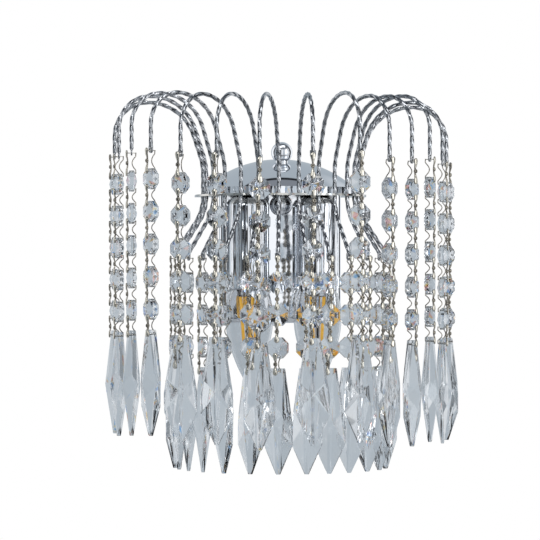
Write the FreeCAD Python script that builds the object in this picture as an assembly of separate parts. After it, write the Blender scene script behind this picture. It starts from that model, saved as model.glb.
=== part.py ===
import FreeCAD
import Part
import math
import os
from collections import namedtuple
from itertools import combinations

# Crystal wall sconce, in millimetres.
# X runs to the right, Y into the wall, Z up. The wall is the plane Y = 0, and the origin lies on it, midway
# between the two wall screws. Heights of the fitting are counted from the arm plate's top face.

# Wall bracket
screw_spacing = 60.0
slot_width = 4.5
slot_length = 9.0
bracket_width = 78.0
bracket_height = 14.0
bracket_thickness = 2.0
tongue_width = 24.0
tongue_reach = 30.0
screw_height = 7.0          # wall screws above the arm plate's top face

# Half-round arm plate
plate_radius = 63.0
plate_thickness = 1.5
plate_centre_distance = 14.0    # centre of the half round, off the wall
plate_wall_gap = 0.5

# Rods
rod_diameter = 2.9
rod_circle_radius = 57.5
upright_length = 15.0       # straight rise above the plate
foot_bend_radius = 44.0     # bend that leans the rod outward
lean_angle = 18.0           # from the vertical
crown_bend_radius = 35.0    # inner half of the loop's top
loop_height = 69.5          # rod's centre line at the top, above the plate's top face
loop_reach = 65.0           # from the rod's hole to the outer strand
outer_eye_height = 26.0     # eye's hole above the plate's top face
tail_bend_radius = 35.0
tail_angle = 33.0           # from the vertical
inner_eye_drop = 46.5       # eye's hole below the plate's top face
inner_turn = -6.0           # inner eyes' facing, past straight out

# What differs from rod to rod, left to right. Angles are in degrees seen from above, positive to the right:
# the hole's step from an even spacing, the loop's and the tail's turn about the hole, the outer eye's facing past
# straight out, and how far a strand's pendant is twisted from its eye. Rises are in mm.
Rod = namedtuple("Rod", "hole_step loop_turn tail_turn crown_rise eye_rise outer_turn outer_twist inner_twist")
rods = (
    Rod(0.0, 0.0, 0.0, -1.5, 2.0, -8.0, 12.0, -30.0),
    Rod(0.0, -4.5, -2.5, 2.0, 1.5, -6.0, 14.0, -30.0),
    Rod(-1.0, -4.5, -1.0, 3.0, 3.0, -24.0, 18.0, -31.0),
    Rod(-1.0, -8.0, -4.0, 2.5, 4.0, -3.0, -2.0, -27.0),
    Rod(0.0, -10.0, -5.5, 0.5, 0.5, -11.0, 43.0, -21.0),
    Rod(0.0, -10.0, 0.0, 0.0, -0.5, -14.0, 22.0, -20.0),
    Rod(1.0, -10.5, 0.0, -0.5, -4.0, 7.0, -20.0, -21.0),
    Rod(1.5, -4.5, 3.0, -0.5, -1.0, -4.0, -10.0, -29.0),
    Rod(3.0, -2.5, -7.0, 1.0, 1.0, -2.0, -6.0, -31.0),
    Rod(3.5, -7.0, -13.0, -0.5, -3.0, 14.0, -3.0, -31.0),
    Rod(4.0, -13.0, -13.0, 0.0, -3.5, 11.0, -3.0, -22.0),
    Rod(2.0, -13.5, -6.0, 1.0, -1.5, 4.0, 4.0, -31.0),
    Rod(0.0, -11.5, -2.0, -2.5, -4.0, 5.0, 4.0, -30.0),
    Rod(0.0, -6.0, 0.0, -4.5, -3.5, 31.0, 10.0, -28.0),
)

# Flat eyes at the rod ends
eye_width = 4.2
eye_thickness = 1.1
eye_hole_radius = 1.0
eye_neck = 3.2              # from the hole's centre up to the end of the round rod

# Octagon crystals
octagon_width = 15.0        # across the flats
octagon_thickness = 8.0
octagon_girdle = 3.4
octagon_hole_offset = 5.6
crystal_hole_radius = 0.8

# Pendants
pendant_length = 75.5
pendant_width = 24.0
pendant_thickness = 14.0
pendant_top_width = 10.4
pendant_top_thickness = 4.4
pendant_tip_width = 2.6
pendant_hole_drop = 3.0

# Clips
pin_radius = 0.45
clip_half_gap = 3.0         # inside of the clip, either side of the crystal
strap_thickness = 0.5
strap_width = 1.2
strap_end_radius = 1.5
clip_wire_radius = 0.35
clip_length = 12.0          # pin to pin
first_outer_clip_length = 14.5
outer_crystal_count = 5
inner_crystal_count = 3

# Dome cover
dome_radius = 56.0
dome_rise = 21.3            # above the skirt
skirt_height = 5.5
dome_wall = 1.0
dome_wall_gap = 0.3

# Centre stud and ball nuts
stud_diameter = 5.0
stud_distance = 22.5        # off the wall
ball_radius = 7.8
ball_flat = 6.0             # from the ball's centre to its seat
ball_bite = 3.0             # stud past the ball's centre
washer_radius = 4.5
washer_rise = 1.2
locknut_width = 8.0
locknut_height = 4.0

# Back plate
back_width = 90.0
back_height = 93.0
back_depth = 13.0
back_wall = 1.0
back_wall_gap = 1.0
back_corner_radius = 5.0
back_screw_edge = 3.0         # screw centre to the end of the bracket
back_screw_spacing = bracket_width - 2 * back_screw_edge
back_screw_distance = 7.5

# Lamps
lamp_spacing = 50.0
lamp_distance = 38.0        # lamp's centre line off the wall
cup_radius = 14.5
cup_length = 68.0
cup_wall = 0.8
cup_shoulder = 7.0
cup_bead = 0.6
nipple_radius = 5.0
nipple_bore = 3.6
nipple_top = 4.5            # above the plate
nipple_nut_width = 12.0
nipple_nut_height = 3.0
holder_radius = 13.4
holder_top_drop = 31.0      # all drops are below the plate's top face
holder_bottom_drop = 60.0
holder_roof = 6.0
nipple_bite = 4.0
socket_radius = 7.2
cap_radius = 6.9
cap_contact_radius = 2.5
cap_contact_height = 2.0
glass_length = 78.0
glass_radius = 17.4
glass_wall = 0.8
stem_radius = 1.6
stem_flare_radius = 5.6
filament_radius = 0.9
filament_start = 15.0       # below the neck
filament_length = 33.0
filament_top_circle = 6.4
filament_bottom_circle = 4.4
filament_wire_radius = 0.3
filament_turns = (12.0, 40.0)   # left and right lamp

# Wiring
block_length = 28.0
block_depth = 14.0
block_height = 10.0
block_screw_hole_radius = 1.8
lead_radius = 1.4
lead_height = 7.5
lead_bend_radius = 4.5

# Small screws
small_screw_radius = 1.5
small_head_radius = 2.8
small_head_height = 2.0
small_nut_width = 5.5
small_nut_height = 2.4
earth_screw_radius = 2.0
earth_head_radius = 3.5
earth_x = 8.0
earth_distance = 10.0

# Fits
slip = 0.1                  # radial clearance of a screw, stud or rod in a plain hole
thread_slip = 0.05
seat = 0.2                  # a hanging pin above the bottom of its hole

plate_top = -screw_height
plate_bottom = plate_top - plate_thickness
plate_centre_y = -plate_centre_distance
rod_radius = rod_diameter / 2
stud_radius = stud_diameter / 2
dome_sphere_radius = (dome_radius ** 2 + dome_rise ** 2) / (2 * dome_rise)
dome_sphere_z = plate_top + skirt_height + dome_rise - dome_sphere_radius
UP = FreeCAD.Vector(0, 0, 1)
BIG = 400.0


def vec(x, y, z):
    return FreeCAD.Vector(x, y, z)


def box(x0, x1, y0, y1, z0, z1):
    return Part.makeBox(x1 - x0, y1 - y0, z1 - z0, vec(x0, y0, z0))


def upright(radius, x, y, z0, z1):
    return Part.makeCylinder(radius, z1 - z0, vec(x, y, z0), UP)


def across(radius, y0, y1, x, z):
    """Cylinder along Y."""
    return Part.makeCylinder(radius, y1 - y0, vec(x, y0, z), vec(0, 1, 0))


def hex_nut(width, height, bore, x, y, z):
    corner = width / math.sqrt(3)
    points = [vec(x + corner * math.cos(math.radians(60 * i)), y + corner * math.sin(math.radians(60 * i)), z)
              for i in range(7)]
    blank = Part.Face(Part.makePolygon(points)).extrude(UP * height)
    return blank.cut(upright(bore, x, y, z - 1, z + height + 1))


def outward(azimuth):
    """Level direction, 0 straight out from the wall, positive to the right."""
    turn = math.radians(azimuth)
    return vec(math.sin(turn), -math.cos(turn), 0)


def placed(shape, azimuth, point):
    """Turn a piece built facing -Y to an azimuth, and carry its own origin to a point."""
    copy = shape.copy()
    copy.rotate(vec(0, 0, 0), UP, azimuth)
    copy.translate(point)
    return copy


def convex_solid(points):
    """Faceted solid with the given corners, all of which lie on its hull."""
    facets = {}
    for i, j, k in combinations(range(len(points)), 3):
        normal = (points[j] - points[i]).cross(points[k] - points[i])
        if normal.Length < 1e-9:
            continue
        normal.normalize()
        heights = [normal.dot(p - points[i]) for p in points]
        if max(heights) > 1e-6 and min(heights) < -1e-6:
            continue
        if max(heights) > 1e-6:
            normal = normal * -1
        corners = tuple(n for n, h in enumerate(heights) if abs(h) < 1e-6)
        facets[corners] = normal
    faces = []
    for corners, normal in facets.items():
        centre = sum((points[n] for n in corners), vec(0, 0, 0)) * (1 / len(corners))
        first = (points[corners[0]] - centre).normalize()
        second = normal.cross(first)
        ring = sorted((points[n] for n in corners),
                      key=lambda p: math.atan2(second.dot(p - centre), first.dot(p - centre)))
        faces.append(Part.Face(Part.makePolygon(ring + ring[:1])))
    return Part.Solid(Part.makeShell(faces))


def mirrored(corners):
    """Corners given for one quarter, repeated across the X and Y axes."""
    found = []
    for x, y, z in corners:
        for sx in ((1, -1) if x else (1,)):
            for sy in ((1, -1) if y else (1,)):
                found.append(vec(sx * x, sy * y, z))
    return found


# Rods ----------------------------------------------------------------------------------------------------

def rod_azimuth(number):
    return -90 + 180 * number / (len(rods) - 1) + rods[number].hole_step


def rod_hole(number):
    return outward(rod_azimuth(number)) * rod_circle_radius + vec(0, plate_centre_y, plate_top)


class Run:
    """Path of lines and tangent arcs in an upright plane: reach outward, height up, heading from the vertical."""

    def __init__(self, azimuth, rising):
        self.out = outward(azimuth)
        self.reach = 0.0
        self.height = 0.0
        self.heading = 0.0 if rising else 180.0
        self.edges = []

    def spot(self, reach, height):
        return self.out * reach + UP * height

    def straight(self, length):
        turn = math.radians(self.heading)
        reach = self.reach + length * math.sin(turn)
        height = self.height + length * math.cos(turn)
        start, end = self.spot(self.reach, self.height), self.spot(reach, height)
        self.edges.append(Part.LineSegment(start, end).toShape())
        self.reach, self.height = reach, height

    def bend(self, radius, angle):
        """Positive angles turn the heading from up, through outward, to down."""
        sign = 1 if angle > 0 else -1
        points = []
        for share in (0.0, 0.5, 1.0):
            before = math.radians(self.heading)
            after = math.radians(self.heading + angle * share)
            reach = self.reach + sign * radius * (math.cos(before) - math.cos(after))
            height = self.height + sign * radius * (math.sin(after) - math.sin(before))
            points.append((reach, height))
        spots = [self.spot(*point) for point in points]
        self.edges.append(Part.Arc(*spots).toShape())
        self.reach, self.height = points[2]
        self.heading += angle


def loop_run(number):
    rod = rods[number]
    lean = math.radians(lean_angle)
    crown = loop_height + rod.crown_rise
    climb = crown - upright_length - foot_bend_radius * math.sin(lean) - crown_bend_radius * (1 - math.sin(lean))
    lean_length = climb / math.cos(lean)
    crown_reach = (foot_bend_radius * (1 - math.cos(lean)) + lean_length * math.sin(lean)
                   + crown_bend_radius * math.cos(lean))
    shoulder_radius = loop_reach - crown_reach
    run = Run(rod_azimuth(number) + rod.loop_turn, True)
    run.straight(upright_length)
    run.bend(foot_bend_radius, lean_angle)
    run.straight(lean_length)
    run.bend(crown_bend_radius, 90 - lean_angle)
    run.bend(shoulder_radius, 90)
    run.straight(crown - shoulder_radius - outer_eye_height - rod.eye_rise - eye_neck)
    return run


def tail_run(number):
    bend = math.radians(tail_angle)
    drop = inner_eye_drop - eye_neck - plate_thickness - tail_bend_radius * math.sin(bend)
    run = Run(rod_azimuth(number) + rods[number].tail_turn, False)
    run.straight(plate_thickness)
    run.bend(tail_bend_radius, -tail_angle)
    run.straight(drop / math.cos(bend))
    return run


def eye_hole(number, outer):
    """Centre of an eye's hole."""
    run = loop_run(number) if outer else tail_run(number)
    return rod_hole(number) + run.spot(run.reach, run.height - eye_neck)


def swing_azimuth(number, outer):
    """Straight out from the plate's centre through a strand."""
    offset = eye_hole(number, outer) - vec(0, plate_centre_y, 0)
    return math.degrees(math.atan2(offset.x, -offset.y))


def strand_facing(number, outer):
    return swing_azimuth(number, outer) + (rods[number].outer_turn if outer else inner_turn)


def pin_centre(number, outer):
    """Where a strand's top pin rests, and the point it swings about."""
    return eye_hole(number, outer) - UP * (eye_hole_radius - pin_radius - seat)


def eye_blank():
    half = eye_thickness / 2
    blade = box(-eye_width / 2, eye_width / 2, -half, half, 0, eye_neck)
    return blade.fuse(across(eye_width / 2, -half, half, 0, 0))


def pipe(run):
    path = Part.Wire(run.edges)
    start = run.edges[0].firstVertex().Point
    ring = Part.Wire(Part.makeCircle(rod_radius, start, UP))
    return path.makePipeShell([ring], True, True)


def arm(number):
    hole = rod_hole(number)
    rod = None
    for run, outer in ((loop_run(number), True), (tail_run(number), False)):
        stretch = pipe(run)
        stretch.translate(hole)
        end = Part.makeSphere(rod_radius, hole + run.spot(run.reach, run.height))
        blade = placed(eye_blank(), strand_facing(number, outer), eye_hole(number, outer))
        rod = stretch if rod is None else rod.fuse(stretch)
        rod = rod.fuse(end).fuse(blade)
    for outer in (True, False):
        drill = across(eye_hole_radius, -eye_width, eye_width, 0, 0)
        rod = rod.cut(placed(drill, strand_facing(number, outer), eye_hole(number, outer)))
    return rod.removeSplitter()


# Strands -------------------------------------------------------------------------------------------------

def octagon_crystal():
    corner = octagon_width / 2 / math.cos(math.radians(22.5))
    corners = []
    for i in range(8):
        turn = math.radians(22.5 + 45 * i)
        for y in (-octagon_girdle / 2, octagon_girdle / 2):
            corners.append(vec(corner * math.cos(turn), y, corner * math.sin(turn)))
    corners += [vec(0, -octagon_thickness / 2, 0), vec(0, octagon_thickness / 2, 0)]
    crystal = convex_solid(corners)
    for z in (-octagon_hole_offset, octagon_hole_offset):
        crystal = crystal.cut(across(crystal_hole_radius, -octagon_thickness, octagon_thickness, 0, z))
    return crystal


def pendant_crystal():
    """Long drop with its origin at the hole: flat top, ridged front and back, widest below the middle."""
    top_x = pendant_top_width / 2
    top_y = pendant_top_thickness / 2
    half_width = pendant_width / 2
    half_thickness = pendant_thickness / 2
    tip = pendant_tip_width / 2
    corners = mirrored([
        (top_x, top_y * 0.45, 0),
        (top_x * 0.55, top_y, 0),
        (half_width * 0.72, half_thickness * 0.40, -pendant_length * 0.41),
        (0, half_thickness, -pendant_length * 0.52),
        (half_width, 0, -pendant_length * 0.545),
        (half_width * 0.96, half_thickness * 0.09, -pendant_length * 0.72),
        (tip, tip * 0.8, -pendant_length),
    ])
    crystal = convex_solid(corners)
    crystal.translate(UP * pendant_hole_drop)
    return crystal.cut(across(crystal_hole_radius, -pendant_thickness, pendant_thickness, 0, 0))


def clip(length):
    """Bow-tie clip hanging from its upper pin: flat strap in front, two pins, a wire behind."""
    strap_y = -clip_half_gap - strap_thickness
    wire_y = clip_half_gap + clip_wire_radius
    solid = box(-strap_width / 2, strap_width / 2, strap_y, -clip_half_gap, -length, 0)
    for z in (0, -length / 2, -length):
        solid = solid.fuse(across(strap_end_radius, strap_y, -clip_half_gap, 0, z))
    for z in (0, -length):
        solid = solid.fuse(across(pin_radius, -clip_half_gap, wire_y, 0, z))
    wire = upright(clip_wire_radius, 0, wire_y, -length, 0)
    return solid.fuse(wire).removeSplitter()


def strand(number, outer):
    """Solids of one strand, hanging from its top pin; each piece is twisted a little further than the last."""
    crystals = outer_crystal_count if outer else inner_crystal_count
    length = first_outer_clip_length if outer else clip_length
    pieces = []
    level = 0.0
    for _ in range(crystals):
        pieces.append((CLIPS[length], level))
        level -= length + octagon_hole_offset
        pieces.append((OCTAGON, level))
        level -= octagon_hole_offset
        length = clip_length
    pieces.append((CLIPS[clip_length], level))
    pieces.append((PENDANT, level - clip_length))
    twist = rods[number].outer_twist if outer else rods[number].inner_twist
    facing = strand_facing(number, outer)
    top = pin_centre(number, outer)
    return Part.makeCompound([placed(piece, facing + twist * step / (len(pieces) - 1), top + UP * level)
                              for step, (piece, level) in enumerate(pieces)])


OCTAGON = octagon_crystal()
PENDANT = pendant_crystal()
CLIPS = {length: clip(length) for length in (clip_length, first_outer_clip_length)}


# Plate, bracket, dome and nuts ---------------------------------------------------------------------------

def lamp_xs():
    return (-lamp_spacing / 2, lamp_spacing / 2)


def back_screw_spots():
    return [(x, -back_screw_distance) for x in (-back_screw_spacing / 2, back_screw_spacing / 2)]


def arm_plate():
    disc = upright(plate_radius, 0, plate_centre_y, plate_bottom, plate_top)
    plate = disc.common(box(-BIG, BIG, -BIG, plate_centre_y, -BIG, BIG))
    plate = plate.fuse(box(-plate_radius, plate_radius, plate_centre_y, -plate_wall_gap,
                           plate_bottom, plate_top)).removeSplitter()
    holes = [(rod_radius + slip, rod_hole(n).x, rod_hole(n).y) for n in range(len(rods))]
    holes += [(nipple_radius + slip, x, -lamp_distance) for x in lamp_xs()]
    holes += [(small_screw_radius + slip, x, y) for x, y in back_screw_spots()]
    holes.append((stud_radius + slip, 0, -stud_distance))
    holes.append((small_screw_radius + thread_slip, 0, -lamp_distance))
    for radius, x, y in holes:
        plate = plate.cut(upright(radius, x, y, plate_bottom - 1, plate_top + 1))
    return plate


def wall_bracket():
    strip = box(-bracket_width / 2, bracket_width / 2, -bracket_thickness, 0, plate_top, plate_top + bracket_height)
    tongue = box(-tongue_width / 2, tongue_width / 2, -tongue_reach, 0, plate_top, plate_top + bracket_thickness)
    bracket = strip.fuse(tongue).removeSplitter()
    half = (slot_length - slot_width) / 2
    for x in (-screw_spacing / 2, screw_spacing / 2):
        slot = box(x - half, x + half, -BIG, BIG, -slot_width / 2, slot_width / 2)
        for end in (x - half, x + half):
            slot = slot.fuse(across(slot_width / 2, -BIG, BIG, end, 0))
        bracket = bracket.cut(slot)
    bracket = bracket.cut(upright(stud_radius + slip, 0, -stud_distance, plate_top - 1, plate_top + bracket_height))
    return bracket.cut(upright(earth_screw_radius + thread_slip, earth_x, -earth_distance,
                               plate_top - 1, plate_top + bracket_thickness + 1))


def dome_form(radius, sphere_radius):
    block = upright(radius, 0, 0, plate_top, plate_top + skirt_height + dome_rise)
    ball = Part.makeSphere(sphere_radius, vec(0, 0, dome_sphere_z))
    return block.common(ball)


def dome_cover():
    shell = dome_form(dome_radius, dome_sphere_radius)
    shell = shell.cut(dome_form(dome_radius - dome_wall, dome_sphere_radius - dome_wall))
    shell = shell.common(box(-BIG, BIG, -BIG, -dome_wall_gap, -BIG, BIG))
    return shell.cut(upright(stud_radius + slip, 0, -stud_distance, plate_top, BIG))


def dome_height(distance):
    """Top of the dome over a point this far off the wall, on the middle line."""
    return dome_sphere_z + math.sqrt(dome_sphere_radius ** 2 - distance ** 2)


def washer_top():
    return dome_height(stud_distance) + washer_rise


def saddle_washer():
    blank = upright(washer_radius, 0, -stud_distance, plate_top, washer_top())
    blank = blank.cut(Part.makeSphere(dome_sphere_radius, vec(0, 0, dome_sphere_z)))
    return blank.cut(upright(stud_radius + slip, 0, -stud_distance, plate_top, BIG))


def ball_nut(z, down):
    """Ball whose flat seat is at height z; down says that the ball hangs below its seat."""
    sign = -1 if down else 1
    centre = z + sign * ball_flat
    ball = Part.makeSphere(ball_radius, vec(0, -stud_distance, centre))
    cut_z = sorted((z, z - sign * BIG))
    ball = ball.cut(box(-BIG, BIG, -BIG, BIG, *cut_z))
    bore_z = sorted((z - sign, centre + sign * (ball_bite + slip)))
    return ball.cut(upright(stud_radius + thread_slip, 0, -stud_distance, *bore_z))


def ball_nuts():
    return Part.makeCompound([ball_nut(washer_top(), False), ball_nut(plate_bottom, True), saddle_washer()])


def centre_stud():
    low = plate_bottom - ball_flat - ball_bite
    high = washer_top() + ball_flat + ball_bite
    stud = upright(stud_radius, 0, -stud_distance, low, high)
    locknut = hex_nut(locknut_width, locknut_height, stud_radius + thread_slip, 0, -stud_distance,
                      plate_top + bracket_thickness)
    return Part.makeCompound([stud, locknut])


def back_plate():
    front = -back_wall_gap - back_depth
    low = plate_bottom - back_height
    half = back_width / 2
    block = box(-half, half, front, -back_wall_gap, low, plate_bottom)
    corners = [e for e in block.Edges
               if abs(e.CenterOfMass.y - front) < 0.01 and e.CenterOfMass.z < plate_bottom - 0.01]
    block = block.makeFillet(back_corner_radius, corners)
    hollow = box(-half + back_wall, half - back_wall, front + back_wall, BIG, low + back_wall,
                 plate_bottom - back_wall)
    inner = [e for e in hollow.Edges
             if abs(e.CenterOfMass.y - front - back_wall) < 0.01 and e.CenterOfMass.z < plate_bottom - back_wall - 0.01]
    hollow = hollow.makeFillet(back_corner_radius - back_wall, inner)
    shell = block.cut(hollow)
    for x, y in back_screw_spots():
        shell = shell.cut(upright(small_screw_radius + slip, x, y, plate_bottom - 5, plate_bottom + 1))
    return shell


# Lamps ---------------------------------------------------------------------------------------------------

def lamp_cup(x):
    low = plate_bottom - cup_length
    outer = upright(cup_radius, x, -lamp_distance, low, plate_bottom)
    outer = outer.makeFillet(cup_shoulder, [e for e in outer.Edges if abs(e.CenterOfMass.z - plate_bottom) < 0.01])
    roof = plate_bottom - cup_wall
    inner = upright(cup_radius - cup_wall, x, -lamp_distance, low - 1, roof)
    inner = inner.makeFillet(cup_shoulder - cup_wall, [e for e in inner.Edges if abs(e.CenterOfMass.z - roof) < 0.01])
    bead = Part.makeTorus(cup_radius, cup_bead, vec(x, -lamp_distance, low + cup_bead), UP)
    cup = outer.fuse(bead).cut(inner)
    return cup.cut(upright(nipple_radius + slip, x, -lamp_distance, roof - 1, plate_bottom + 1))


def lamp_nipples():
    solids = []
    for x in lamp_xs():
        low = plate_top - holder_top_drop - nipple_bite
        tube = upright(nipple_radius, x, -lamp_distance, low, plate_top + nipple_top)
        solids.append(tube.cut(upright(nipple_bore, x, -lamp_distance, low - 1, plate_top + nipple_top + 1)))
        for z in (plate_top, plate_bottom - cup_wall - nipple_nut_height):
            solids.append(hex_nut(nipple_nut_width, nipple_nut_height, nipple_radius + thread_slip,
                                  x, -lamp_distance, z))
    return Part.makeCompound(solids)


def lampholder(x):
    top = plate_top - holder_top_drop
    low = plate_top - holder_bottom_drop
    body = upright(holder_radius, x, -lamp_distance, low, top)
    body = body.cut(upright(nipple_radius + thread_slip, x, -lamp_distance, top - nipple_bite - slip, top + 1))
    body = body.cut(upright(lead_radius + slip, x, -lamp_distance, top - holder_roof, top))
    return body.cut(upright(socket_radius, x, -lamp_distance, low - 1, top - holder_roof))


def bulb_cap(x):
    low = plate_top - holder_bottom_drop
    top = plate_top - holder_top_drop - holder_roof - slip
    barrel = upright(cap_radius, x, -lamp_distance, low, top - cap_contact_height)
    return barrel.fuse(upright(cap_contact_radius, x, -lamp_distance, top - cap_contact_height, top))


def glass_form(x, inset):
    """Candle outline turned about the lamp's centre line, drawn in by inset."""
    low = plate_top - holder_bottom_drop
    shares = [(0.0, 0.40), (0.035, 0.45), (0.11, 0.72), (0.23, 0.93), (0.38, 1.0), (0.54, 0.94),
              (0.73, 0.70), (0.91, 0.36), (0.985, 0.12)]
    points = [vec(x + glass_radius * wide - inset, -lamp_distance, low - (glass_length - inset) * down)
              for down, wide in shares]
    tip = vec(x, -lamp_distance, low - glass_length + inset)
    curve = Part.BSplineCurve()
    curve.interpolate(points + [tip])
    start = vec(x, -lamp_distance, low)
    outline = [Part.LineSegment(start, points[0]).toShape(), curve.toShape(), Part.LineSegment(tip, start).toShape()]
    return Part.Face(Part.Wire(outline)).revolve(start, UP, 360)


def bulb_glass(x):
    return glass_form(x, 0.0).cut(glass_form(x, glass_wall))


def bulb_inside(x, turn):
    """Glass stem with its support wires, and four filament sticks that stand between them."""
    neck = plate_top - holder_bottom_drop
    first = neck - filament_start
    last = first - filament_length
    stem = Part.makeCone(stem_flare_radius, stem_radius, filament_start / 2, vec(x, -lamp_distance, neck),
                         vec(0, 0, -1))
    stem = stem.fuse(upright(stem_radius, x, -lamp_distance, last - 2, neck - filament_start / 2 + 0.5))
    sticks = []
    for number in range(4):
        azimuth = turn + 90 * number
        centre = vec(x, -lamp_distance, 0)
        top = centre + outward(azimuth) * filament_top_circle + UP * first
        bottom = centre + outward(azimuth) * filament_bottom_circle + UP * last
        line = bottom - top
        sticks.append(Part.makeCylinder(filament_radius, line.Length, top, line))
        for point, gap in ((top, filament_wire_radius + 0.1), (bottom, -filament_wire_radius - 0.1)):
            reach = outward(azimuth).dot(point - centre)
            wire = Part.makeCylinder(filament_wire_radius, reach, centre + UP * (point.z + gap), outward(azimuth))
            stem = stem.fuse(wire)
    return [stem.removeSplitter()] + sticks


def terminal_block():
    half = block_length / 2
    front = -lamp_distance - block_depth / 2
    block = box(-half, half, front, front + block_depth, plate_top, plate_top + block_height)
    block = block.cut(upright(small_screw_radius + slip, 0, -lamp_distance, plate_top - 1, BIG))
    block = block.cut(upright(small_head_radius + slip, 0, -lamp_distance, plate_top + block_height / 2, BIG))
    for x in (-block_length / 3, block_length / 3):
        for y in (-lamp_distance - block_depth / 4, -lamp_distance + block_depth / 4):
            block = block.cut(upright(block_screw_hole_radius, x, y, plate_top + block_height / 2, BIG))
    return block


def lamp_lead(x):
    """Sleeved lead from the block's end, over and down the nipple, into the lampholder's roof."""
    sign = 1 if x > 0 else -1
    level = plate_top + lead_height
    start = vec(sign * block_length / 2, -lamp_distance, level)
    turn_in = vec(x - sign * lead_bend_radius, -lamp_distance, level)
    turn_out = vec(x, -lamp_distance, level - lead_bend_radius)
    end = vec(x, -lamp_distance, plate_top - holder_top_drop - holder_roof)
    middle = turn_in + vec(sign * math.sin(math.pi / 4), 0, math.cos(math.pi / 4) - 1) * lead_bend_radius
    path = Part.Wire([Part.LineSegment(start, turn_in).toShape(), Part.Arc(turn_in, middle, turn_out).toShape(),
                      Part.LineSegment(turn_out, end).toShape()])
    ring = Part.Wire(Part.makeCircle(lead_radius, start, vec(1, 0, 0)))
    return path.makePipeShell([ring], True, True)


def pan_screw(x, y, head_z, length, radius, head_radius):
    shank = upright(radius, x, y, head_z - length, head_z)
    return shank.fuse(upright(head_radius, x, y, head_z, head_z + small_head_height))


def fixing_screws():
    solids = []
    grip = plate_thickness + back_wall
    for x, y in back_screw_spots():
        solids.append(pan_screw(x, y, plate_top, grip + small_nut_height + 1, small_screw_radius, small_head_radius))
        solids.append(hex_nut(small_nut_width, small_nut_height, small_screw_radius + thread_slip, x, y,
                              plate_top - grip - small_nut_height))
    solids.append(pan_screw(0, -lamp_distance, plate_top + block_height / 2, block_height / 2 + plate_thickness,
                            small_screw_radius, small_head_radius))
    solids.append(pan_screw(earth_x, -earth_distance, plate_top + bracket_thickness, bracket_thickness,
                            earth_screw_radius, earth_head_radius))
    return Part.makeCompound(solids)


# Sub-parts, one file each --------------------------------------------------------------------------------

def sub_parts():
    left, right = lamp_xs()
    parts = {
        "wall_bracket": wall_bracket(),
        "arm_plate": arm_plate(),
        "back_plate": back_plate(),
        "dome_cover": dome_cover(),
        "ball_nuts": ball_nuts(),
        "centre_stud": centre_stud(),
        "cup_left": lamp_cup(left),
        "cup_right": lamp_cup(right),
        "lamp_nipples": lamp_nipples(),
        "lampholder_left": lampholder(left),
        "lampholder_right": lampholder(right),
        "bulb_left": bulb_glass(left),
        "bulb_right": bulb_glass(right),
        "bulb_caps": Part.makeCompound([bulb_cap(left), bulb_cap(right)]),
        "bulb_filaments": Part.makeCompound(bulb_inside(left, filament_turns[0])
                                            + bulb_inside(right, filament_turns[1])),
        "terminal_block": terminal_block(),
        "lamp_leads": Part.makeCompound([lamp_lead(left), lamp_lead(right)]),
        "fixing_screws": fixing_screws(),
    }
    for number in range(len(rods)):
        label = "%02d" % (number + 1)
        parts["arm_" + label] = arm(number)
        parts["outer_strand_" + label] = strand(number, True)
        parts["inner_strand_" + label] = strand(number, False)
    return parts


os.makedirs("parts", exist_ok=True)
for name, shape in sub_parts().items():
    shape.exportStep("parts/" + name + ".step")
for number in range(len(rods)):
    for outer, label in ((True, "outer"), (False, "inner")):
        point = pin_centre(number, outer)
        print("%s strand %02d swings about %.3f %.3f %.3f, out to %.3f degrees" % (
            label, number + 1, point.x, point.y, point.z, swing_azimuth(number, outer)))
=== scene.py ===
import math
import random

import bmesh
import bpy
from mathutils import Matrix, Vector


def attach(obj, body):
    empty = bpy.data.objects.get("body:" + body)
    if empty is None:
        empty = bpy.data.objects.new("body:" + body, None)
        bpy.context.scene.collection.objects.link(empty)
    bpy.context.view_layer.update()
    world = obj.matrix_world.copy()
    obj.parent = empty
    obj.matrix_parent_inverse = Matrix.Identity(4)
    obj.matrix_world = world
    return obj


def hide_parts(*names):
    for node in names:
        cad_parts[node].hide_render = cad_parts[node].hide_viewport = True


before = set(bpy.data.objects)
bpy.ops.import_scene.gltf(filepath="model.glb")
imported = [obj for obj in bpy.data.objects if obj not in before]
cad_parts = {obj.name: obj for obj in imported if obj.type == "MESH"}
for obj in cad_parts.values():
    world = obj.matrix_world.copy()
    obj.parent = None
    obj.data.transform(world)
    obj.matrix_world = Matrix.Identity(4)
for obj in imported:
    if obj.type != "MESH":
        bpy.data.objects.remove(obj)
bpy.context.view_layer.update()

bl_info = {
    "name": "Crystal wall sconce",
    "version": (1, 0, 0),
    "blender": (4, 2, 0),
    "location": "View3D > Sidebar > Sconce",
    "description": "Twisted rods, cut crystals, clips, lamps and studio of a crystal wall sconce",
    "category": "Add Mesh",
}

MM = 0.001
ROD_COUNT = 14
ROOT_BODY = "fitting"
WELD_DISTANCE = 1e-6
METAL_SMOOTH = 40.0
GLASS_SMOOTH = 30.0
MATERIALS = {}
# Colours of the painted rainbow glints of split light on the crystals.
PAINTED_RAINBOW_BANDS = [(0.0, (0.9, 0.35, 0.65)), (0.38, (0.95, 0.35, 0.25)), (0.45, (1.0, 0.55, 0.12)),
               (0.50, (1.0, 0.88, 0.45)), (0.54, (0.75, 0.9, 1.0)), (0.60, (0.15, 0.45, 0.95)),
               (1.0, (0.35, 0.25, 0.85))]


# Measuring the solids ------------------------------------------------------------------------------------

def node_points(name):
    return [v.co.copy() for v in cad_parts[name].data.vertices]


def middle(points):
    """Middle of the box round some points."""
    low = Vector(min(p[i] for p in points) for i in range(3))
    high = Vector(max(p[i] for p in points) for i in range(3))
    return (low + high) / 2


def height_of(points):
    return max(p.z for p in points) - min(p.z for p in points)


def reach_of(points):
    """Largest distance of the points from the upright line through their middle."""
    centre = middle(points)
    return max((p - centre).xy.length for p in points)


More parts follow.
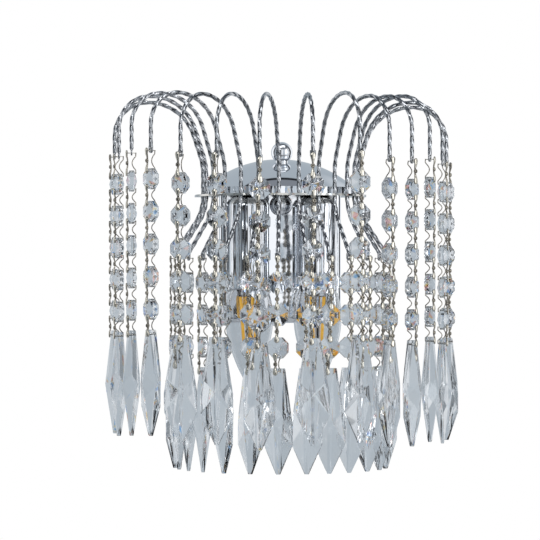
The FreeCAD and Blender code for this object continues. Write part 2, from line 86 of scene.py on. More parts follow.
def welded(name):
    """The node's mesh as a bmesh whose faces share their corners again."""
    mesh = bmesh.new()
    mesh.from_mesh(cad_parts[name].data)
    bmesh.ops.remove_doubles(mesh, verts=mesh.verts, dist=WELD_DISTANCE)
    return mesh


def islands(mesh):
    """Groups of connected faces, one for each solid."""
    seen = set()
    groups = []
    for face in mesh.faces:
        if face in seen:
            continue
        stack = [face]
        seen.add(face)
        group = []
        while stack:
            one = stack.pop()
            group.append(one)
            for edge in one.edges:
                for other in edge.link_faces:
                    if other not in seen:
                        seen.add(other)
                        stack.append(other)
        groups.append(group)
    return groups


def corners(group):
    """Corners of some faces, each once and always in the same order."""
    return [v.co.copy() for v in dict.fromkeys(v for face in group for v in face.verts)]


def copied(group):
    """A new bmesh that holds only these faces."""
    result = bmesh.new()
    made = {}
    for face in group:
        ring = []
        for v in face.verts:
            if v not in made:
                made[v] = result.verts.new(v.co)
            ring.append(made[v])
        result.faces.new(ring)
    result.normal_update()
    return result


# Building meshes -----------------------------------------------------------------------------------------

def new_object(name, mesh, materials, smooth_angle=None):
    """Turn a bmesh into an object; smooth_angle keeps edges sharper than it."""
    data = bpy.data.meshes.new(name)
    if smooth_angle is not None:
        limit = math.radians(smooth_angle)
        for face in mesh.faces:
            face.smooth = True
        for edge in mesh.edges:
            if len(edge.link_faces) == 2 and edge.calc_face_angle(0.0) > limit:
                edge.smooth = False
    mesh.to_mesh(data)
    mesh.free()
    for material in materials:
        data.materials.append(MATERIALS[material])
    obj = bpy.data.objects.new(name, data)
    bpy.context.scene.collection.objects.link(obj)
    return obj


def merge_into(target, source, matrix=None, material=0):
    """Add one bmesh to another, and free it."""
    made = {}
    for v in source.verts:
        made[v] = target.verts.new(matrix @ v.co if matrix else v.co)
    for face in source.faces:
        copy = target.faces.new([made[v] for v in face.verts])
        copy.smooth = face.smooth
        copy.material_index = material
    source.free()


def add_parts(target, source, matrix):
    """Add a bmesh whose faces keep their own material numbers, and free it."""
    made = {v: target.verts.new(matrix @ v.co) for v in source.verts}
    for face in source.faces:
        target.faces.new([made[v] for v in face.verts]).material_index = face.material_index
    source.free()


def carried_frames(points):
    """For each point of a path: its direction and two directions across it, carried along untwisted."""
    tangents = []
    for i in range(len(points)):
        ahead = points[min(i + 1, len(points) - 1)] - points[max(i - 1, 0)]
        tangents.append(ahead.normalized())
    side = tangents[0].orthogonal().normalized()
    frames = []
    for tangent in tangents:
        side = (side - tangent * side.dot(tangent)).normalized()
        frames.append((tangent, side, tangent.cross(side)))
    return frames


def sweep(points, section):
    """Closed tube along a path; section(i) gives the outline at point i as (across, across) pairs."""
    mesh = bmesh.new()
    rings = []
    for i, (point, (_, side, up)) in enumerate(zip(points, carried_frames(points))):
        rings.append([mesh.verts.new(point + side * a + up * b) for a, b in section(i)])
    count = len(rings[0])
    for first, second in zip(rings, rings[1:]):
        for k in range(count):
            nxt = (k + 1) % count
            mesh.faces.new((first[k], first[nxt], second[nxt], second[k]))
    mesh.faces.new(list(reversed(rings[0])))
    mesh.faces.new(rings[-1])
    bmesh.ops.recalc_face_normals(mesh, faces=mesh.faces)
    return mesh


def circle_section(radius, sides=10):
    outline = [(radius * math.cos(math.tau * k / sides), radius * math.sin(math.tau * k / sides))
               for k in range(sides)]
    return lambda i: outline


# Materials -----------------------------------------------------------------------------------------------

GRAIN_SPREAD = (0.3, 0.7)
GRAIN_BUMP = 0.2 * MM
DRIFT_SPREAD = (0.35, 0.65)
CRYSTAL_ROUGHNESS = 0.03
CRYSTAL_IOR = 1.46
CRYSTAL_DRIFT_SCALE = 90.0
CRYSTAL_TINTS = ((0.97, 0.985, 1.0), (1.0, 1.0, 1.0))
# Size and share of the patches that carry the painted rainbow glints.
PATCH_SCALE = 130.0
PATCH_SPREAD = (0.53, 0.62)
BAND_SCALE = 200.0


def set_inputs(node, **values):
    """Give values to a node's inputs; an underscore stands for a space in the input's name."""
    for key, value in values.items():
        node.inputs[key.replace("_", " ")].default_value = value
    return node


def add_node(tree, kind, **values):
    return set_inputs(tree.nodes.new("ShaderNode" + kind), **values)


def add_range(tree, limits):
    return add_node(tree, "MapRange", From_Min=limits[0], From_Max=limits[1])


def add_math(tree, operation):
    node = tree.nodes.new("ShaderNodeMath")
    node.operation = operation
    return node


def add_mix(tree, blend="MIX"):
    """Mix node for colours."""
    node = tree.nodes.new("ShaderNodeMix")
    node.data_type = "RGBA"
    node.blend_type = blend
    return node


def add_ramp(tree, stops):
    """Colour ramp from (position, colour) pairs."""
    node = tree.nodes.new("ShaderNodeValToRGB")
    elements = node.color_ramp.elements
    while len(elements) > 1:
        elements.remove(elements[-1])
    elements[0].position = stops[0][0]
    elements[0].color = (*stops[0][1], 1.0)
    for position, colour in stops[1:]:
        elements.new(position).color = (*colour, 1.0)
    return node


def join(tree, *links):
    """Link sockets; each link is (node, output, node, input)."""
    for source, output, target, given in links:
        tree.links.new(source.outputs[output], target.inputs[given])


def make_group(name, inputs, outputs):
    """Node group with its input and output nodes; sockets are (name, kind), or (name, kind, default)."""
    group = bpy.data.node_groups.new(name, "ShaderNodeTree")
    for side, sockets in (("INPUT", inputs), ("OUTPUT", outputs)):
        for label, kind, *default in sockets:
            socket = group.interface.new_socket(label, in_out=side, socket_type="NodeSocket" + kind)
            if default:
                socket.default_value = default[0]
    return group, group.nodes.new("NodeGroupInput"), group.nodes.new("NodeGroupOutput")


def make_wear_group():
    """Shared surface grain: fine noise that shifts the roughness and gives a slight bump."""
    group, given, out = make_group(
        "surface grain",
        [("Scale", "Float", 400.0), ("Low", "Float", 0.05), ("High", "Float", 0.1), ("Depth", "Float", 0.02)],
        [("Roughness", "Float"), ("Normal", "Vector")])
    place = add_node(group, "TexCoord")
    noise = add_node(group, "TexNoise", Detail=6.0)
    spread = add_range(group, GRAIN_SPREAD)
    bump = add_node(group, "Bump", Distance=GRAIN_BUMP)
    join(group, (place, "Object", noise, "Vector"), (given, "Scale", noise, "Scale"),
         (noise, "Fac", spread, "Value"), (given, "Low", spread, "To Min"), (given, "High", spread, "To Max"),
         (given, "Depth", bump, "Strength"), (noise, "Fac", bump, "Height"),
         (spread, "Result", out, "Roughness"), (bump, "Normal", out, "Normal"))
    return group


def make_tone_group():
    """Shared colour drift: large soft noise that mixes two close colours."""
    group, given, out = make_group(
        "tone drift",
        [("Scale", "Float", 30.0), ("First", "Color"), ("Second", "Color")],
        [("Color", "Color")])
    place = add_node(group, "TexCoord")
    noise = add_node(group, "TexNoise", Detail=3.0)
    spread = add_range(group, DRIFT_SPREAD)
    mix = add_mix(group)
    join(group, (place, "Object", noise, "Vector"), (given, "Scale", noise, "Scale"),
         (noise, "Fac", spread, "Value"), (spread, "Result", mix, "Factor"),
         (given, "First", mix, "A"), (given, "Second", mix, "B"), (mix, "Result", out, "Color"))
    return group


def new_material(name):
    """Material kept under its name; gives its node tree and its shader."""
    material = bpy.data.materials.new(name)
    material.use_nodes = True
    MATERIALS[name] = material
    return material.node_tree, material.node_tree.nodes["Principled BSDF"]


def add_group(tree, group, **values):
    node = tree.nodes.new("ShaderNodeGroup")
    node.node_tree = group
    return set_inputs(node, **values)


def add_drift(tree, tone, scale, colours):
    return add_group(tree, tone, Scale=scale, First=(*colours[0], 1.0), Second=(*colours[1], 1.0))


def make_material(name, wear, tone, metallic, scale, rough, depth, colours, tone_scale=30.0, **fixed):
    """Finish with surface grain and colour drift; fixed gives values to further inputs of its shader."""
    tree, shader = new_material(name)
    set_inputs(shader, Metallic=metallic, **fixed)
    grain = add_group(tree, wear, Scale=scale, Low=rough[0], High=rough[1], Depth=depth)
    drift = add_drift(tree, tone, tone_scale, colours)
    join(tree, (grain, "Roughness", shader, "Roughness"), (drift, "Color", shader, "Base Color"))
    if depth:
        join(tree, (grain, "Normal", shader, "Normal"))


def make_crystal(name, tone):
    """Clear cut crystal: each facet has a faint painted shade of its own, and small patches show painted
    rainbow glints of split light.
    """
    tree, shader = new_material(name)
    set_inputs(shader, Transmission_Weight=1.0, Roughness=CRYSTAL_ROUGHNESS, IOR=CRYSTAL_IOR)
    facet_paint = tree.nodes.new("ShaderNodeAttribute")
    facet_paint.attribute_name = "painted_facet_light"
    drift = add_drift(tree, tone, CRYSTAL_DRIFT_SCALE, CRYSTAL_TINTS)
    toned_and_painted = set_inputs(add_mix(tree, "MULTIPLY"), Factor=1.0)
    place = add_node(tree, "TexCoord")
    patches = add_node(tree, "TexNoise", Scale=PATCH_SCALE, Detail=1.0)
    share = add_range(tree, PATCH_SPREAD)
    shown = add_math(tree, "MULTIPLY")
    bands = add_node(tree, "TexNoise", Scale=BAND_SCALE, Detail=0.0)
    spectrum = add_ramp(tree, PAINTED_RAINBOW_BANDS)
    split = add_mix(tree)
    join(tree, (facet_paint, "Color", toned_and_painted, "A"), (drift, "Color", toned_and_painted, "B"),
         (place, "Object", patches, "Vector"), (place, "Object", bands, "Vector"),
         (patches, "Fac", share, "Value"), (share, "Result", shown, 0), (facet_paint, "Alpha", shown, 1),
         (bands, "Fac", spectrum, "Fac"), (shown, "Value", split, "Factor"),
         (toned_and_painted, "Result", split, "A"), (spectrum, "Color", split, "B"),
         (split, "Result", shader, "Base Color"))


class SconceLook(bpy.types.PropertyGroup):
    """Sizes of the rods and crystals that can be changed."""

    facet_bevel_mm: bpy.props.FloatProperty(
        name="Facet edge",
        description="Width of the fine line ground along each crystal edge, in millimetres",
        default=0.12, min=0.0, max=0.4)
    # Share of the small facets that are given painted rainbow glints.
    painted_split_light: bpy.props.FloatProperty(
        name="Split light", description="Share of the small facets that may show rainbow patches",
        default=0.3, min=0.0, max=1.0, subtype="FACTOR")
    twist_pitch_mm: bpy.props.FloatProperty(
        name="Twist pitch", description="Length of rod in which its section turns once, in millimetres",
        default=31.0, min=10.0, max=80.0)
    rod_radius_mm: bpy.props.FloatProperty(
        name="Rod radius", description="Half the width of a rod across its corners, in millimetres",
        default=1.6, min=0.5, max=3.0)
    rod_flat_mm: bpy.props.FloatProperty(
        name="Rod half flat", description="Half the width of a rod across its flats, in millimetres",
        default=1.27, min=0.5, max=3.0)


class SconceStudio(bpy.types.PropertyGroup):
    """Light, floor and camera."""

    sky: bpy.props.FloatVectorProperty(
        name="Surroundings", description="Soft grey-blue of the studio round the fitting",
        size=3, subtype="COLOR", default=(0.455, 0.508, 0.555), min=0.0, max=1.0)
    key_power: bpy.props.FloatProperty(
        name="Key light", description="Power of the large panel at the left front",
        default=9.0, min=0.0, max=200.0, unit="POWER")
    fill_power: bpy.props.FloatProperty(
        name="Fill light", description="Power of the right and the top panel",
        default=5.0, min=0.0, max=200.0, unit="POWER")
    floor_z: bpy.props.FloatProperty(
        name="Floor height", description="Height of the studio floor, out of the picture",
        default=-1.4, unit="LENGTH")
    azimuth: bpy.props.FloatProperty(
        name="Camera azimuth", description="Turn of the camera about the fitting, in degrees", default=-4.3)
    distance: bpy.props.FloatProperty(
        name="Camera distance", description="Distance from the camera to the fitting's middle",
        default=2.214, min=0.1, unit="LENGTH")
    height: bpy.props.FloatProperty(
        name="Camera height", description="Height of the camera", default=-0.06235, unit="LENGTH")
    sideways: bpy.props.FloatProperty(
        name="Camera step", description="Step of the camera to its left", default=0.008, unit="LENGTH")
    lens: bpy.props.FloatProperty(
        name="Lens", description="Focal length", default=200.0, min=1.0, unit="CAMERA")


class SCONCE_OT_materials(bpy.types.Operator):
    """Make the metal, glass, crystal and plastic finishes"""

    bl_idname = "sconce.materials"
    bl_label = "Materials"

    def execute(self, context):
        wear = make_wear_group()
        tone = make_tone_group()
        make_material("polished chrome", wear, tone, 1.0, 260.0, (0.02, 0.06), 0.01,
                      ((0.80, 0.82, 0.85), (0.76, 0.79, 0.83)))
        make_material("plate edge chrome", wear, tone, 1.0, 260.0, (0.08, 0.16), 0.02,
                      ((0.60, 0.59, 0.56), (0.52, 0.52, 0.50)))
        make_material("rod chrome", wear, tone, 1.0, 500.0, (0.05, 0.12), 0.01,
                      ((0.42, 0.43, 0.45), (0.33, 0.35, 0.37)), 60.0)
        make_material("clip nickel", wear, tone, 1.0, 900.0, (0.12, 0.25), 0.04,
                      ((0.74, 0.71, 0.63), (0.62, 0.59, 0.51)), 250.0)
        # Painted shade: the clip nickel darkened for the knot, the wire behind and the strap's back.
        make_material("nickel with painted shade", wear, tone, 1.0, 900.0, (0.1, 0.2), 0.04,
                      ((0.24, 0.22, 0.19), (0.42, 0.39, 0.33)), 250.0)
        make_material("plated steel", wear, tone, 1.0, 500.0, (0.25, 0.45), 0.1,
                      ((0.60, 0.60, 0.58), (0.52, 0.53, 0.54)))
        make_material("cap metal", wear, tone, 1.0, 700.0, (0.2, 0.35), 0.05,
                      ((0.66, 0.66, 0.66), (0.6, 0.6, 0.6)))
        make_material("bulb glass", wear, tone, 0.0, 60.0, (0.0, 0.015), 0.0,
                      ((0.93, 0.935, 0.94), (0.90, 0.905, 0.912)), 20.0, Transmission_Weight=1.0, IOR=1.3)
        make_material("stem glass", wear, tone, 0.0, 300.0, (0.0, 0.05), 0.02,
                      ((0.95, 0.97, 0.99), (0.9, 0.93, 0.96)), 60.0, Transmission_Weight=1.0, IOR=1.5)
        # Painted glow: the unlit filaments get a faint orange emission.
        make_material("filament yellow with painted glow", wear, tone, 0.0, 2500.0, (0.35, 0.5), 0.2,
                      ((1.0, 0.62, 0.12), (1.0, 0.70, 0.20)), 500.0,
                      Emission_Color=(1.0, 0.5, 0.02, 1.0), Emission_Strength=0.4)
        make_material("dark plastic", wear, tone, 0.0, 900.0, (0.35, 0.5), 0.15,
                      ((0.012, 0.013, 0.015), (0.02, 0.021, 0.024)))
        make_material("white plastic", wear, tone, 0.0, 900.0, (0.35, 0.5), 0.15,
                      ((0.80, 0.80, 0.76), (0.76, 0.76, 0.72)))
        make_material("lead sleeve", wear, tone, 0.0, 2200.0, (0.5, 0.7), 0.5,
                      ((0.82, 0.81, 0.76), (0.74, 0.73, 0.68)), 400.0)
        make_crystal("cut crystal", tone)
        return {"FINISHED"}


# Rods ----------------------------------------------------------------------------------------------------

# The bends of a rod as its solid has them; the solid's eyes are kept and the twisted length is made new.
EYE_HALF = 2.1 * MM
EYE_NECK = 3.2 * MM
UPRIGHT_TOP = 8.0 * MM
PLATE_TOP = -7.0 * MM
PLATE_THICKNESS = 1.5 * MM
FOOT_BEND = 44.0 * MM
LEAN = math.radians(18.0)
CROWN_BEND = 35.0 * MM
TAIL_BEND = 35.0 * MM
TAIL_ANGLE = math.radians(33.0)
ROD_STEP = 0.7 * MM
ROD_TAPER = 4.0 * MM
FAR_REACH = 0.055
HOLE_SLICE = 0.3 * MM
TAIL_CLEAR = 20.0 * MM
EYE_REACH = 4.0 * MM
EYE_OVERLAP = 1.3 * MM
SECTION_POINTS = 24
CORNER_SHARE = 0.985
END_SHARE = 0.9


def trace(steps, heading):
    """Points of a path of ('line', length) and ('arc', radius, angle) steps, as (reach, height) pairs."""
    reach = height = 0.0
    points = [(reach, height)]
    for step in steps:
        if step[0] == "line":
            count = max(1, round(step[1] / ROD_STEP))
            for _ in range(count):
                reach += step[1] / count * math.sin(heading)
                height += step[1] / count * math.cos(heading)
                points.append((reach, height))
        else:
            count = max(1, round(abs(step[1] * step[2]) / ROD_STEP))
            turn = step[2] / count
            chord = 2 * step[1] * math.sin(abs(turn) / 2)
            for _ in range(count):
                heading += turn / 2
                reach += chord * math.sin(heading)
                height += chord * math.cos(heading)
                heading += turn / 2
                points.append((reach, height))
    return points


def rod_measures(name, radius):
    """Hole, eyes and crown of a rod, read off its solid."""
    points = node_points(name)
    hole = middle([p for p in points if abs(p.z - UPRIGHT_TOP) < HOLE_SLICE])
    far = [p for p in points if (p - hole).xy.length > FAR_REACH]
    near = [p for p in points if p.z < PLATE_TOP - TAIL_CLEAR]
    eyes = []
    for group in (far, near):
        low = min(p.z for p in group)
        eye = middle([p for p in group if p.z < low + EYE_HALF])
        eyes.append(Vector((eye.x, eye.y, low + EYE_HALF)))
    crown = max(p.z for p in points) - radius
    return hole, eyes[0], eyes[1], crown


def rod_path(name, radius):
    """Middle line of a rod from its low eye to its upper eye, and both eyes."""
    hole, outer_eye, inner_eye, crown = rod_measures(name, radius)
    loop_reach = (outer_eye - hole).xy.length
    top = crown - PLATE_TOP
    upright = UPRIGHT_TOP - PLATE_TOP
    bends = FOOT_BEND * math.sin(LEAN) + CROWN_BEND * (1 - math.sin(LEAN))
    climb = (top - upright - bends) / math.cos(LEAN)
    crown_reach = FOOT_BEND * (1 - math.cos(LEAN)) + climb * math.sin(LEAN) + CROWN_BEND * math.cos(LEAN)
    shoulder = loop_reach - crown_reach
    fall = crown - shoulder - outer_eye.z - EYE_NECK
    loop = trace([("line", upright), ("arc", FOOT_BEND, LEAN), ("line", climb),
                  ("arc", CROWN_BEND, math.pi / 2 - LEAN), ("arc", shoulder, math.pi / 2),
                  ("line", fall)], 0.0)
    drop = PLATE_TOP - inner_eye.z - EYE_NECK - PLATE_THICKNESS - TAIL_BEND * math.sin(TAIL_ANGLE)
    tail = trace([("line", PLATE_THICKNESS), ("arc", TAIL_BEND, -TAIL_ANGLE),
                  ("line", drop / math.cos(TAIL_ANGLE))], math.pi)
    origin = Vector((hole.x, hole.y, PLATE_TOP))
    out_loop = Vector((outer_eye.x - hole.x, outer_eye.y - hole.y, 0)).normalized()
    out_tail = Vector((inner_eye.x - hole.x, inner_eye.y - hole.y, 0)).normalized()
    path = [origin + out_tail * r + Vector((0, 0, h)) for r, h in reversed(tail)]
    path += [origin + out_loop * r + Vector((0, 0, h)) for r, h in loop[1:]]
    return path, outer_eye, inner_eye


def twisted_section(path, look):
    """Rounded square that turns along the rod and runs out to a round end at the eyes."""
    round_radius = look.rod_radius_mm * MM
    flat = look.rod_flat_mm * MM
    pitch = look.twist_pitch_mm * MM
    lengths = [0.0]
    for a, b in zip(path, path[1:]):
        lengths.append(lengths[-1] + (b - a).length)
    total = lengths[-1]

    def section(i):
        end = min(lengths[i], total - lengths[i])
        blend = min(1.0, end / ROD_TAPER)
        turn = math.tau * lengths[i] / pitch
        outline = []
        for k in range(SECTION_POINTS):
            angle = math.tau * k / SECTION_POINTS
            reach = flat / max(abs(math.cos(angle)), abs(math.sin(angle)))
            reach = min(reach, round_radius * CORNER_SHARE)
            reach = reach * blend + round_radius * END_SHARE * (1 - blend)
            outline.append((reach * math.cos(angle + turn), reach * math.sin(angle + turn)))
        return outline
    return section


class SCONCE_OT_rods(bpy.types.Operator):
    """Twist the square section of the fourteen rods along their own bends"""

    bl_idname = "sconce.rods"
    bl_label = "Twisted rods"

    def execute(self, context):
        look = context.scene.sconce_look
        for number in range(1, ROD_COUNT + 1):
            name = "arm_%02d" % number
            path, outer_eye, inner_eye = rod_path(name, look.rod_radius_mm * MM)
            mesh = sweep(path, twisted_section(path, look))
            solid = welded(name)
            keep = []
            for face in solid.faces:
                centre = face.calc_center_median()
                if any((centre - eye).xy.length < EYE_REACH and centre.z < eye.z + EYE_NECK + EYE_OVERLAP
                       for eye in (outer_eye, inner_eye)):
                    keep.append(face)
            merge_into(mesh, copied(keep))
            solid.free()
            rod = new_object("twisted_rod_%02d" % number, mesh, ["rod chrome"], METAL_SMOOTH)
            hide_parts(name)
            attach(rod, ROOT_BODY)
        return {"FINISHED"}


# Strands -------------------------------------------------------------------------------------------------

# A solid narrower and shorter than these is a clip; the others are crystals.
CLIP_REACH = 6.0 * MM
PENDANT_HEIGHT = 0.06

# The clip's pins, strap, knot and back wire.
PIN_RADIUS = 0.28 * MM
PIN_SIDES = 10

STRAP_FRONT = -3.0 * MM
STRAP_MIDDLE = -2.2 * MM
STRAP_THICKNESS = 0.7 * MM
STRAP_BULGE = 0.65 * MM
STRAP_ROWS = 48
STRAP_ACROSS = (-1.0, -0.66, -0.33, 0.0, 0.33, 0.66, 1.0)
STRAP_TAPER = 0.75
LEAF_LENGTH = 2.1 * MM
LEAF_HALF_WIDTH = 1.95 * MM
LEAF_SHARE = 0.98
LEAF_CLEAR = 1.1
NECK_HALF_WIDTH = 0.55 * MM
TIP_HALF_WIDTH = 0.3 * MM

KNOT_RADIUS = 1.15 * MM
KNOT_WIRE = 0.55 * MM
KNOT_SIDES = 8
KNOT_STEPS = 16
# How far from the knot, in knot radii, the strap takes the painted shade.
KNOT_ZONE = 2.2
KNOT_RINGS = ((0.0, 1.0), (0.55 * MM, 0.8))

WIRE_BACK = 3.35 * MM
WIRE_MIDDLE = 0.5 * MM
WIRE_RADIUS = 0.38 * MM
WIRE_SIDES = 8
WIRE_STEPS = 24
WIRE_END = 0.3 * MM
WIRE_SWAY = 0.45 * MM
WIRE_WAVES = 1.5

# A clip's solid: degrees searched for its facing, and how far it goes past its pins and in front of them.
SOLID_TURNS = 60
SOLID_HALF_STRAP = 1.2 * MM
SOLID_OVERHANG = 1.5 * MM
SOLID_FRONT = 3.5 * MM

# Crystals: which edges are ground, how much painted shade a facet may get, and the facets that may show
# painted rainbow glints.
FLAT_ANGLE = math.radians(1.0)
SHARP_ANGLE = math.radians(8)
SHARP_LENGTH = 2 * MM
FACET_PAINTED_SHADE = (0.9, 1.0)
SPLIT_AREA = (3e-6, 45e-6)
FACET_PAINT_SEED = 7


def strap_half_width(z, length):
    """Half width of a clip's strap at height z below its upper pin.

    The strap is a bow tie with a round end past each pin."""
    past = max(z, -length - z)
    if past > 0:
        return LEAF_HALF_WIDTH * math.sqrt(max(0.0, 1 - (past / LEAF_LENGTH) ** 2))
    taper = min(-z, z + length) / (length / 2 - KNOT_RADIUS)
    return max(NECK_HALF_WIDTH, LEAF_HALF_WIDTH * (1 - STRAP_TAPER * taper))


def pinch(z, length, at_pin, at_middle):
    """Distance from the strand's middle: the clip leans in between its two pins."""
    clear = LEAF_LENGTH * LEAF_CLEAR
    if z > -clear or z < -length + clear:
        return at_pin
    share = (z + clear) / (2 * clear - length)
    return at_pin + (at_middle - at_pin) * math.sin(math.pi * share)


def add_strap(mesh, length):
    """Domed strap with a leaf at each pin; its back and the stretch by the knot have the second material, the
    nickel darkened as painted shade.
    """
    rows = []
    top = LEAF_LENGTH * LEAF_SHARE
    bottom = -length - top
    for i in range(STRAP_ROWS + 1):
        z = top + (bottom - top) * i / STRAP_ROWS
        half = TIP_HALF_WIDTH if i in (0, STRAP_ROWS) else strap_half_width(z, length)
        front = pinch(z, length, STRAP_FRONT, STRAP_MIDDLE)
        dome = min(1.0, (half / LEAF_HALF_WIDTH)) * STRAP_BULGE
        row = [mesh.verts.new((half * share, front - STRAP_THICKNESS - dome * (1 - share * share), z))
               for share in STRAP_ACROSS]
        rows.append(row + [mesh.verts.new((half, front, z)), mesh.verts.new((-half, front, z))])
    for first, second in zip(rows, rows[1:]):
        for k in range(len(first)):
            nxt = (k + 1) % len(first)
            face = mesh.faces.new((first[k], second[k], second[nxt], first[nxt]))
            # Painted shade on the strap's back and on its stretch by the knot.
            at_back = k >= len(STRAP_ACROSS) - 1
            by_knot = abs(first[k].co.z + length / 2) < KNOT_RADIUS * KNOT_ZONE
            face.material_index = int(at_back or by_knot)
    mesh.faces.new(rows[0])
    mesh.faces.new(list(reversed(rows[-1])))


def clip_mesh(length):
    """Clip with its upper pin at the origin: strap and knot in front, two pins, kinked wire behind.

    The knot and the wire have the second material, the nickel darkened as painted shade."""
    mesh = bmesh.new()
    add_strap(mesh, length)
    for shift, share in KNOT_RINGS:
        radius = KNOT_RADIUS * share
        centre = Vector((0, STRAP_MIDDLE - STRAP_THICKNESS - shift, -length / 2))
        turns = [math.tau * k / KNOT_STEPS for k in range(KNOT_STEPS + 1)]
        ring = [centre + Vector((radius * math.cos(turn), 0, radius * math.sin(turn))) for turn in turns]
        merge_into(mesh, sweep(ring, circle_section(KNOT_WIRE, KNOT_SIDES)), None, 1)
    for z in (0.0, -length):
        pin = [Vector((0, y, z)) for y in (STRAP_FRONT, 0, WIRE_BACK)]
        merge_into(mesh, sweep(pin, circle_section(PIN_RADIUS, PIN_SIDES)))
    wire = []
    for i in range(WIRE_STEPS + 1):
        z = WIRE_END - (length + 2 * WIRE_END) * i / WIRE_STEPS
        sway = WIRE_SWAY * math.sin(math.tau * WIRE_WAVES * (z / length))
        wire.append(Vector((sway, pinch(z, length, WIRE_BACK, WIRE_MIDDLE), z)))
    merge_into(mesh, sweep(wire, circle_section(WIRE_RADIUS, WIRE_SIDES)), None, 1)
    bmesh.ops.recalc_face_normals(mesh, faces=mesh.faces)
    return mesh


def span(points, direction):
    """Width of some flat points along a direction."""
    along = [direction.dot(p) for p in points]
    return max(along) - min(along)


def clip_place(points):
    """Matrix of a clip and its length, from its solid: the strap's wide discs show the front side."""
    centre = middle(points)
    flat = [Vector((p.x - centre.x, p.y - centre.y)) for p in points]
    facing = max(flat, key=lambda p: p.length).normalized()
    best = None
    for step in range(-SOLID_TURNS, SOLID_TURNS + 1):
        along = Matrix.Rotation(math.radians(step), 2) @ facing
        across = Vector((-along.y, along.x))
        score = span(flat, along) - span(flat, across)
        if best is None or score > best[0]:
            best = (score, along, across)
    along, across = best[1:]
    wide = [p for p in flat if abs(across.dot(p)) > SOLID_HALF_STRAP]
    if sum(along.dot(p) for p in wide) < 0:
        along = -along
    front = Vector((along.x, along.y, 0))
    right = Vector((-front.y, front.x, 0))
    reach = max(along.dot(p) for p in flat)
    pins = centre + front * (reach - SOLID_FRONT)
    origin = Vector((pins.x, pins.y, max(p.z for p in points) - SOLID_OVERHANG))
    turn = Matrix((right, -front, Vector((0, 0, 1)))).transposed().to_4x4()
    return Matrix.Translation(origin) @ turn, height_of(points) - 2 * SOLID_OVERHANG


def cut_crystal(group, bevel):
    """One crystal: its flat facets, with a fine bright line ground along each edge."""
    mesh = copied(group)
    bmesh.ops.dissolve_limit(mesh, angle_limit=FLAT_ANGLE, verts=mesh.verts, edges=mesh.edges)
    sharp = [e for e in mesh.edges if len(e.link_faces) == 2 and e.calc_length() > SHARP_LENGTH
             and e.calc_face_angle(0.0) > SHARP_ANGLE]
    if bevel > 0:
        bmesh.ops.bevel(mesh, geom=sharp, offset=bevel, segments=1, affect="EDGES", clamp_overlap=True)
    return mesh


def paint_facet_light(obj, split_share, rng):
    """Faint painted shade of each facet, with alpha 1 on the small facets that may show painted rainbow
    glints.
    """
    data = obj.data
    layer = data.color_attributes.new("painted_facet_light", "FLOAT_COLOR", "CORNER")
    for polygon in data.polygons:
        value = rng.uniform(*FACET_PAINTED_SHADE)
        small = SPLIT_AREA[0] < polygon.area < SPLIT_AREA[1]
        split = 1.0 if small and rng.random() < split_share else 0.0
        for index in polygon.loop_indices:
            layer.data[index].color = (value, value, value, split)


class SCONCE_OT_strands(bpy.types.Operator):
    """Cut the crystals and bend the clips of all the strands"""

    bl_idname = "sconce.strands"
    bl_label = "Crystal strands"

    def execute(self, context):
        look = context.scene.sconce_look
        rng = random.Random(FACET_PAINT_SEED)
        names = ["%s_strand_%02d" % (kind, n) for kind in ("outer", "inner") for n in range(1, ROD_COUNT + 1)]
        for name in names:
            solid = welded(name)
            crystals = bmesh.new()
            clips = bmesh.new()
            for group in islands(solid):
                points = corners(group)
                if reach_of(points) < CLIP_REACH and height_of(points) < PENDANT_HEIGHT:
                    matrix, length = clip_place(points)
                    add_parts(clips, clip_mesh(length), matrix)
                else:
                    merge_into(crystals, cut_crystal(group, look.facet_bevel_mm * MM))
            solid.free()
            stones = new_object(name + "_crystals", crystals, ["cut crystal"])
            metal = new_object(name + "_clips", clips, ["clip nickel", "nickel with painted shade"], METAL_SMOOTH)
            paint_facet_light(stones, look.painted_split_light, rng)
            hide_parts(name)
            for piece in (stones, metal):
                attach(piece, name + "_body")
        return {"FINISHED"}


# Fitting and lamps ---------------------------------------------------------------------------------------

PLAIN_NODES = {
    "arm_plate": "plate edge chrome", "dome_cover": "polished chrome", "ball_nuts": "polished chrome",
    "back_plate": "polished chrome", "cup_left": "polished chrome", "cup_right": "polished chrome",
    "wall_bracket": "plated steel", "centre_stud": "plated steel", "lamp_nipples": "plated steel",
    "fixing_screws": "plated steel", "bulb_left": "bulb glass", "bulb_right": "bulb glass",
    "bulb_caps": "cap metal", "lampholder_left": "dark plastic", "lampholder_right": "dark plastic",
    "terminal_block": "white plastic", "lamp_leads": "lead sleeve",
}


class SCONCE_OT_fitting(bpy.types.Operator):
    """Give the plate, dome, balls, cups, bulbs and hidden parts their finishes"""

    bl_idname = "sconce.fitting"
    bl_label = "Fitting and lamps"

    def execute(self, context):
        for name, material in PLAIN_NODES.items():
            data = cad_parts[name].data
            data.materials.clear()
            data.materials.append(MATERIALS[material])
        return {"FINISHED"}


STICK_WIDEN = 1.25
STICK_REACH = 3 * MM
STICK_HEIGHT = 40 * MM


class SCONCE_OT_filaments(bpy.types.Operator):
    """Colour the filament sticks, with a painted glow, and the glass stems inside the bulbs"""

    bl_idname = "sconce.filaments"
    bl_label = "Filament sticks and stems"

    def execute(self, context):
        solid = welded("bulb_filaments")
        sticks = bmesh.new()
        stems = bmesh.new()
        for group in islands(solid):
            points = corners(group)
            is_stick = reach_of(points) < STICK_REACH and height_of(points) < STICK_HEIGHT
            piece = copied(group)
            if is_stick:
                bmesh.ops.scale(piece, vec=(STICK_WIDEN, STICK_WIDEN, 1.0), verts=piece.verts,
                                space=Matrix.Translation(-middle(points)))
            merge_into(sticks if is_stick else stems, piece)
        solid.free()
        yellow = new_object("filament_sticks", sticks, ["filament yellow with painted glow"], GLASS_SMOOTH)
        clear = new_object("filament_stems", stems, ["stem glass"], GLASS_SMOOTH)
        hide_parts("bulb_filaments")
        for piece in (yellow, clear):
            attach(piece, ROOT_BODY)
        return {"FINISHED"}


# Studio --------------------------------------------------------------------------------------------------

